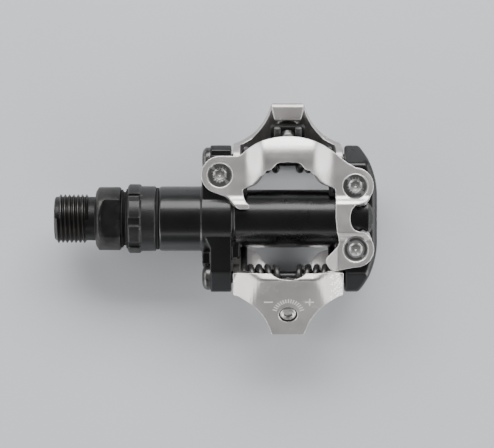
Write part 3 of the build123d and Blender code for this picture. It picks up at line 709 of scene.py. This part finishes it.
def make_body():
    halves = [outboard_half(), inboard_half()]
    halves += [underside(half, half.name + "_under") for half in halves]
    x0 = body_low[0] / MM - CENTRE
    outline = [(x0, 0), (x0, 9.0), (x0 + 0.5, 9.5), (-BLOCK_OUTER, 9.5), (-BLOCK_OUTER, 9.85),
               (-ARM_INNER, 9.85), (-ARM_INNER + 0.9, 8.5), (16.0, 8.5), (ARM_INNER, 9.45), (23.4, 9.45),
               (24.4, 8.2), (24.4, 0)]
    barrel = lathe("casting", outline, 96, place=at)
    webs = []
    for side in (-1, 1):
        web = brick(at(side * 15.75, 0, 0), (3.6, 23.8, 10.0))
        webs.append(round_edges(web, 0.8, 3))
    body = join(barrel, *halves, *webs)
    fuse(body, MELT_BODY)
    lock_seat, sleeve_end, cap_end = (x - CENTRE for x in (31.3, 69.3, 76.5))
    bore = [(x0 - 1, 0), (x0 - 1, 8.02), (lock_seat, 8.02), (lock_seat, 7.0), (sleeve_end, 7.0),
            (sleeve_end, 6.3), (cap_end, 6.3), (cap_end, 0)]
    tools = [lathe("bore", bore, 64, place=at)]
    for side in (1, -1):
        y = side * PIN_Y
        hole = [(-30, 0), (-30, 4.1), (-ARM_OUTER, 4.1), (-ARM_OUTER, 1.82), (21.0, 1.82), (21.0, 0)]
        tools.append(lathe("pin_hole", hole, 40, axis_at=(y, 0), place=at))
        for x, sy in SCREWS:
            hole = spun_up("screw_hole", [(0, 0.3), (2.05, 0.3), (2.05, 12), (0, 12)], (x, sy), 32)
            if side < 0:
                turned = underside(hole, "screw_hole_under")
                bpy.data.objects.remove(hole)
                hole = turned
            tools.append(hole)
    cut(body, *tools)
    body.name = "body_casting"
    smooth(body, 50)
    settle(body, "pedal", body_paint, "pedal_body")


# ---------------------------------------------------------------- front plate and its screws
LUG_TOP = SEAT + SHEET
ARCH_RISE, BAND_RISE = 4.1, 1.35


def front_height(x, y):
    """Height of the front plate's top face above each point of its plan."""
    height = LUG_TOP
    if y > 8.55 and -13.4 < x < 14.0:
        rise = ARCH_RISE * ease((x + 13.3) / 6.9) * ease((13.9 - x) / 7.5)
        front = 2.0 * ease((y - 18.4) / 7.5) ** 1.2
        inner = 1.3 * ease((17.8 - y) / 6.5) ** 1.2
        height += rise - (front + inner) * min(1.0, rise / ARCH_RISE)
    if x > 13.5 or (x < -10.5 and y < 8.5):
        height += BAND_RISE * ease((6.6 - abs(y)) / 2.5)
    if y < -7.0 and x < 14.4:
        height -= (14.4 - x) * 0.48
    return height


def make_front_plate():
    left, upper, lower = SCREWS
    plan = round_part(left, 5.45, 255, 90, 22)
    plan += [(-14.9, 18.15)]
    plan += arc((-13.9, 18.4), (-9.6, 21.7), (-4.6, 23.4), 8)
    plan += arc((-4.6, 23.4), (0, 23.9), (4.6, 23.4), 8)
    plan += arc((4.6, 23.4), (9.7, 21.6), (14.1, 18.7), 8)
    plan += [(14.1, 18.7), (17.0, 16.3)]
    plan += round_part(upper, 5.3, 88, -62, 18)
    plan += [(20.8, 4.2), (19.4, 3.7), (18.5, 2.7), (18.05, 1.3), (17.95, 0), (18.05, -1.3), (18.5, -2.5),
             (19.3, -3.3), (20.6, -3.9)]
    plan += round_part(lower, 5.3, 66, -92, 18)
    plan += [(16.6, -14.7), (13.6, -15.3), (12.3, -15.1), (11.4, -14.0), (10.75, -12.2), (11.3, -11.2),
             (14.4, -8.0), (14.75, -7.1), (14.2, -4.2), (13.75, -0.2), (13.8, 4.6), (13.75, 8.3), (13.2, 8.9),
             (10.7, 9.9), (9.6, 10.7)]
    arch = [(8.3, 12.1), (7.4, 12.6), (6.9, 13.2), (6.3, 13.7), (5.4, 13.8), (4.4, 14.6), (3.6, 15.6),
            (2.3, 16.1)]
    plan += arch + [(0, 16.2)] + [(-x, y) for x, y in arch[::-1]]
    plan += [(-9.5, 10.7), (-10.4, 9.8), (-12.9, 8.7), (-13.25, 8.2), (-12.95, 6.4), (-12.3, 4.7),
             (-11.4, 3.8), (-11.35, 3.1), (-11.8, 2.7), (-14.2, 2.65), (-14.8, 2.95), (-17.2, 6.0)]
    plate = flat("front_plate_blank", [at(x, y, LUG_TOP) for x, y in plan])
    cell, columns, rows = 0.6, 46, 26
    for i in range(columns):
        slice_at(at(-13.33 + i * cell, 0, 0), (1, 0, 0))
    slice_at(at(14.4, 0, 0), (1, 0, 0))
    for i in range(rows):
        slice_at(at(0, 9.07 + i * cell, 0), (0, 1, 0))
    for y in (-6.6, -5.8, -5.0, -4.1, 4.1, 5.0, 5.8, 6.6, 8.55):
        slice_at(at(0, y + 0.003, 0), (0, 1, 0))
    lift(plate, front_height)
    close_edit()
    modify(plate, "SOLIDIFY", thickness=SHEET * MM, offset=-1.0, use_even_offset=True)
    edit(plate)
    close_edit()
    for x, y in SCREWS:
        cone = [(0, SEAT - 2), (2.2, SEAT - 2), (2.2, LUG_TOP - 1.6), (3.75, LUG_TOP - 0.05),
                (3.75, LUG_TOP + 2), (0, LUG_TOP + 2)]
        cut(plate, spun_up("countersink", cone, (x, y), 48))
    fuse(plate, MELT_PLATE)
    smooth(plate)
    both_sides(plate, "front_plate_pressed", "pedal", plate_steel, "front_plate")


def socket_cutter(across, centre, top, depth):
    """A six-sided key socket that opens upwards."""
    clear()
    corner = across / 2 / cos(pi / 6)
    bpy.ops.mesh.primitive_cylinder_add(vertices=6, radius=corner * MM, depth=depth * 2 * MM,
                                        location=at(*centre, top))
    tool = bpy.context.object
    bpy.ops.object.transform_apply(location=True, rotation=False, scale=True)
    return tool


def brighten(screw, centre, radius, low, high):
    """Bare steel inside the key recess of an upright screw."""
    screw.data.materials.clear()
    screw.data.materials.append(screw_steel)
    screw.data.materials.append(bright_steel)

    def inside(place):
        x, y, z = place.x / MM - CENTRE - centre[0], place.y / MM - centre[1], place.z / MM
        return hypot(x, y) < radius and low < z < high

    edit(screw)
    corners = sort_corners(screw, inside)
    if True in corners:
        choose(screw, corners[True])
        screw.active_material_index = 1
        bpy.ops.object.material_slot_assign()
    close_edit()


def make_plate_screws():
    made = []
    top = LUG_TOP - 0.02
    profile = [(0, top), (2.45, top), (2.6, top), (3.2, top), (3.35, top), (3.62, top - 0.14),
               (3.66, top - 0.3), (2.1, top - 1.75), (2.0, top - 2.0), (2.0, top - 9.2), (1.6, top - 9.6),
               (0, top - 9.6)]
    for x, y in SCREWS:
        screw = spun_up("plate_screw", profile, (x, y), 64)
        cut(screw, socket_cutter(2.7, (x, y), top, 1.2))
        dimple = [(0, top + 0.4), (2.35, top + 0.4), (1.45, top - 0.5), (0.9, top - 0.9), (0, top - 1.5)]
        cut(screw, spun_up("socket_rim", dimple, (x, y), 48))
        round_edges(screw, 0.09, 2, 35)
        brighten(screw, (x, y), 1.95, top - 1.72, top - 0.12)
        made.append(screw)
    screws = join(*made)
    smooth(screws, 32)
    both_sides(screws, "countersunk_screws", "pedal", screw_steel, "plate_screws")


# ---------------------------------------------------------------- rear claw
CLAW_HALF = (claw_high[0] - claw_low[0]) / 2 / MM
LIP_Y, LIP_Z, CREST_Y, CREST_Z = -15.8, 13.5, -17.8, claw_high[2] / MM
TIP_Y, TIP_Z, TIP_HALF = claw_low[1] / MM, 3.2, 4.85
FACE_RISE = (CREST_Z - TIP_Z) / (CREST_Y - TIP_Y)
FACE_ANGLE = atan2(CREST_Z - TIP_Z, CREST_Y - TIP_Y)
FLANK_X, FLANK_FLARE, FLANK_ANGLE = 8.4, 0.35, radians(32)
BOLT_Y = -28.1
BOLT_Z = TIP_Z + (BOLT_Y - TIP_Y) * FACE_RISE
PIN_HOLE_R, EAR_R = 1.86, 3.8


def claw_height(x, y):
    """Height of the claw's outer face above each point of its plan."""
    lip = CREST_Z + (y - CREST_Y) * (LIP_Z - CREST_Z) / (LIP_Y - CREST_Y)
    face = CREST_Z + (y - CREST_Y) * FACE_RISE
    flank = face - (abs(x) - FLANK_X - (CREST_Y - y) * FLANK_FLARE) * tan(FLANK_ANGLE) / cos(FACE_ANGLE)
    return soft_min(soft_min(lip, face, 0.18), flank, 0.62)


def to_face(obj):
    """Tips a piece modelled upright at the bolt's place onto the claw's sloping face."""
    edit(obj)
    bpy.ops.transform.rotate(value=-FACE_ANGLE, orient_axis="X", center_override=at(0, BOLT_Y, BOLT_Z))
    close_edit()
    return obj


def make_claw():
    right = [(5.0, LIP_Y), (CLAW_HALF, LIP_Y), (CLAW_HALF, -22.4), (14.6, -22.8)]
    right += arc((13.2, -23.6), (7.9, -27.9), (TIP_HALF, TIP_Y), 12) + [(TIP_HALF, TIP_Y)]
    plan = right + [(-x, y) for x, y in right[::-1]]
    plan += arc((-5.0, LIP_Y), (0, LIP_Y - 2.1), (5.0, LIP_Y), 10)[1:]
    claw = flat("claw_blank", [at(x, y, CREST_Z) for x, y in plan])
    for i in range(-15, 16):
        slice_at(at(i * 1.03 + 0.02, 0, 0), (1, 0, 0))
    for y in (-16.3, -16.8, -17.2, -17.6, -18.0, -18.4, -19.0, -20, -21, -22, -23, -24, -25, -26, -27.5, -29,
              -31, -32.5):
        slice_at(at(0, y + 0.01, 0), (0, 1, 0))
    lift(claw, claw_height)
    close_edit()
    modify(claw, "SOLIDIFY", thickness=SHEET * MM, offset=-1.0, use_even_offset=True)
    hole = [(0, BOLT_Z - 5), (2.7, BOLT_Z - 5), (2.7, BOLT_Z + 5), (0, BOLT_Z + 5)]
    cut(claw, to_face(spun_up("bolt_hole", hole, (0, BOLT_Y), 48)))
    parts = []
    for side in (-1, 1):
        inner = side * (CLAW_HALF - SHEET) if side > 0 else -CLAW_HALF
        ear = [(-15.95, 10.3), (-15.95, 6.6), (-15.2, 4.6), (-13.7, 1.9)]
        ear += round_part((-PIN_Y, 0), EAR_R, 18, -180, 26) + [(-21.9, 5.7)]
        wall = slab("ear", [at(inner, y, z) for y, z in ear], (SHEET * MM, 0, 0))
        hole = [(-20, 0), (-20, PIN_HOLE_R), (20, PIN_HOLE_R), (20, 0)]
        cut(wall, lathe("pin_hole", hole, 40, axis_at=(-PIN_Y, 0), place=at))
        parts.append(wall)
    fold = [(TIP_Y, TIP_Z), (TIP_Y, TIP_Z - 1.5), (TIP_Y + 0.35, TIP_Z - 2.2), (TIP_Y + 1.1, TIP_Z - 2.6),
            (TIP_Y + 4.4, TIP_Z - 2.85), (TIP_Y + 5.0, TIP_Z - 2.7), (TIP_Y + 5.2, TIP_Z - 2.2),
            (TIP_Y + 5.1, TIP_Z - 1.5), (TIP_Y + 4.6, TIP_Z - 1.15), (TIP_Y + 2.3, TIP_Z - 1.0),
            (TIP_Y + 2.2, TIP_Z - 0.2), (TIP_Y + 1.0, TIP_Z + 0.5)]
    flange = slab("fold", [at(-TIP_HALF, y, z) for y, z in fold], (2 * TIP_HALF * MM, 0, 0))
    edit(flange)

    def narrower(place):
        return round(1 - 0.20 * ease((place.y / MM - TIP_Y - 1.5) / 3.5), 2)

    for share, corners in sort_corners(flange, narrower).items():
        choose(flange, corners)
        bpy.ops.transform.resize(value=(share, 1, 1), center_override=at(0, 0, 0))
    close_edit()
    round_edges(flange, 0.35, 3, 50)
    join(claw, *parts, flange)
    fuse(claw, MELT_CLAW)
    smooth(claw)
    both_sides(claw, "claw_pressed", "top_claw", claw_steel, "rear_claw")


def make_marks():
    """Tick marks round the tension screw, with a minus and a plus, as thin inlays in the face."""
    ticks, first, span, sink = 15, 20, 140, 0.085
    angles = [radians(first + span * i / (ticks - 1)) for i in range(ticks)]
    bars = [(4.2 * cos(a), 5.0 * sin(a), a, 1.35, 0.34) for a in angles]
    bars += [(-5.8, 4.6, 0, 2.5, 0.42), (6.2, 4.6, 0, 2.5, 0.42), (6.2, 4.6, pi / 2, 2.5, 0.42)]
    made = []
    for x, y, turn, length, width in bars:
        bar = brick(at(x, BOLT_Y + y, BOLT_Z), (length, width, 0.24), turn)
        round_edges(bar, 0.05, 2)
        made.append(bar)
    marks = join(*made)
    to_face(marks)
    edit(marks)
    bpy.ops.transform.translate(value=(0, sink * MM * sin(FACE_ANGLE), -sink * MM * cos(FACE_ANGLE)))
    close_edit()
    marks.name = marks.data.name = "top_tension_marks"
    smooth(marks, 30)
    twin = underside(marks, "bottom_tension_marks")
    for piece, side in ((marks, "top"), (twin, "bottom")):
        piece.data.materials.clear()
        piece.data.materials.append(mark_white)
        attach(piece, f"{side}_claw")


# ---------------------------------------------------------------- tension screw, its plate, pin and springs
def make_tension_screws():
    top = BOLT_Z - 0.28
    flange = BOLT_Z - SHEET - 0.06
    profile = [(0, top), (1.95, top), (2.25, top - 0.2), (2.35, top - 0.5), (2.35, flange), (3.4, flange),
               (3.6, flange - 0.2), (3.6, flange - 0.85), (3.4, flange - 1.0), (1.9, flange - 1.0),
               (1.9, BOLT_Z - 7.9), (1.6, BOLT_Z - 8.2), (0, BOLT_Z - 8.2)]
    bolt = spun_up("tension_screw", profile, (0, BOLT_Y), 64)
    cut(bolt, socket_cutter(2.6, (0, BOLT_Y), top, 1.1))
    dish = [(0, top + 0.3), (2.2, top + 0.3), (1.3, top - 0.5), (0.7, top - 0.8), (0, top - 1.3)]
    cut(bolt, spun_up("dish", dish, (0, BOLT_Y), 48))
    round_edges(bolt, 0.08, 2, 35)
    brighten(bolt, (0, BOLT_Y), 2.3, top - 1.6, top + 0.1)
    to_face(bolt)
    smooth(bolt, 32)
    both_sides(bolt, "tension_screw", "top_bolt", screw_steel, "tension_bolt")


def make_tension_nuts():
    half, deep, corner, upper = 5.1, 3.1, 0.8, BOLT_Z - 4.4
    plan = [(half - corner, -deep), (half, -deep + corner), (half, deep - corner), (half - corner, deep),
            (-half + corner, deep), (-half, deep - corner), (-half, -deep + corner), (-half + corner, -deep)]
    plate = slab("tension_nut", [at(x, BOLT_Y + y, upper) for x, y in plan], (0, 0, -1.8 * MM))
    hole = [(0, upper - 4), (2.0, upper - 4), (2.0, upper + 2), (0, upper + 2)]
    cut(plate, spun_up("nut_hole", hole, (0, BOLT_Y), 40))
    round_edges(plate, 0.25, 3, 35)
    to_face(plate)
    smooth(plate, 35)
    both_sides(plate, "tension_nut", "top_slider", plate_black, "tension_plate")


def make_pins():
    head, seat, end = pin_low[0] / MM, body_low[0] / MM, pin_high[0] / MM
    shoulder = head + 2.5
    profile = [(head, 0), (head + 0.02, 1.3), (head + 0.12, 2.2), (head + 0.35, 2.9), (head + 0.75, 3.45),
               (head + 1.3, 3.75), (head + 1.7, 3.8), (shoulder - 0.15, 3.8), (shoulder, 3.65),
               (shoulder, 1.8), (end - 0.5, 1.8), (end, 1.3), (end, 0)]
    pin = lathe("top_pivot_pin", profile, 56, axis_at=(-PIN_Y, 0))
    smooth(pin, 40)
    both_sides(pin, "pivot_pin", "pedal", pin_black, "claw_pin")


WIRE_R, COIL_R, COIL_TURNS, BARREL_R = 0.95, 3.0, 4, 8.5
COIL_OUTER, COIL_INNER = 12.85, 3.1
LEG_END, LEG_ROOT_Y, BARE_TIP = (-26.6, -0.7), 19.0, 1.7


def spring_path(side):
    """Centre lines of a spring: the coil with the leg on the barrel, and the leg under the nut."""
    rest = BARREL_R + WIRE_R + 0.1
    lean = asin((COIL_R + rest) / PIN_Y)
    away, down = LEG_END[0] + PIN_Y, LEG_END[1]
    first = pi / 2 - lean
    last = atan2(down, away) % (2 * pi) - acos(COIL_R / hypot(away, down))
    total = last - first + 2 * pi * COIL_TURNS
    ramp, steps = (pi / 2) / total, 30 * COIL_TURNS
    coil = []
    for i in range(steps + 1):
        share = i / steps
        near = min(share, 1 - share, ramp)
        eased = near * near / (2 * ramp) + max(0, min(share, 1 - share) - ramp)
        eased = eased / (1 - ramp)
        x = COIL_INNER + (COIL_OUTER - COIL_INNER) * (1 - eased if share <= 0.5 else eased)
        angle = first + total * share
        coil.append((x, -PIN_Y + COIL_R * cos(angle), COIL_R * sin(angle)))
    outer = (coil[0][0], -rest * sin(lean), -rest * cos(lean))
    inner = (coil[-1][0], *LEG_END)
    coil = [outer, tuple((a + b) / 2 for a, b in zip(outer, coil[0]))] + coil
    leg = [tuple(a + (b - a) * share for a, b in zip(coil[-1], inner))
           for share in (0, 0.25, 0.5, 0.76, 0.78, 1)]
    return [[at(side * x, y, z) for x, y, z in part] for part in (coil, leg)]


def wire(name, points):
    """Round wire along a line of points, with closed ends."""
    curve = bpy.data.curves.new("wire", "CURVE")
    curve.dimensions, curve.use_fill_caps = "3D", True
    curve.bevel_depth, curve.bevel_resolution = WIRE_R * MM, 5
    line = curve.splines.new("POLY")
    line.points.add(len(points) - 1)
    for point, place in zip(line.points, points):
        point.co = (*place, 1)
    made = bpy.data.objects.new(name, curve)
    bpy.context.collection.objects.link(made)
    pick(made)
    bpy.ops.object.convert(target="MESH")
    made = bpy.context.object
    made.data.materials.append(spring_black)
    smooth(made, 50)
    return made


def make_springs():
    """Each coil winds up between the body and the claw, and its straight leg follows the tension plate."""
    tip_y = LEG_END[0] + BARE_TIP
    for side, label in ((-1, "inboard"), (1, "outboard")):
        coil_line, leg_line = spring_path(side)
        coil, leg = wire(f"top_{label}_coil", coil_line), wire(f"top_{label}_leg", leg_line)
        leg.data.materials.append(bright_steel)
        edit(leg)
        choose(leg, sort_corners(leg, lambda place: place.y / MM < tip_y)[True])
        leg.active_material_index = 1
        bpy.ops.object.material_slot_assign()
        close_edit()
        twins = underside(coil, f"bottom_{label}_coil"), underside(leg, f"bottom_{label}_leg")
        for face, turn, (wound, straight) in (("top", 1, (coil, leg)), ("bottom", -1, twins)):
            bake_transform(wound)
            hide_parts(f"{face}_{label}_spring")
            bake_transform(straight)


# ---------------------------------------------------------------- what the CAD already shows right
def finish_inner_parts():
    finishes = {"bearing_sleeve": race_steel, "inboard_balls": race_steel, "outboard_balls": race_steel,
                "bearing_cone": race_steel, "lock_nut": zinc_steel, "spindle_bush": bush_plastic,
                "lock_bolt_o_ring": seal_rubber}
    for name, material in finishes.items():
        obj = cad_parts[name]
        for slot in obj.material_slots:
            slot.material = material


make_spindle()
make_seal()
make_lock_bolt()
make_body()
make_front_plate()
make_plate_screws()
make_claw()
make_marks()
make_tension_screws()
make_tension_nuts()
make_pins()
make_springs()
finish_inner_parts()
clear()
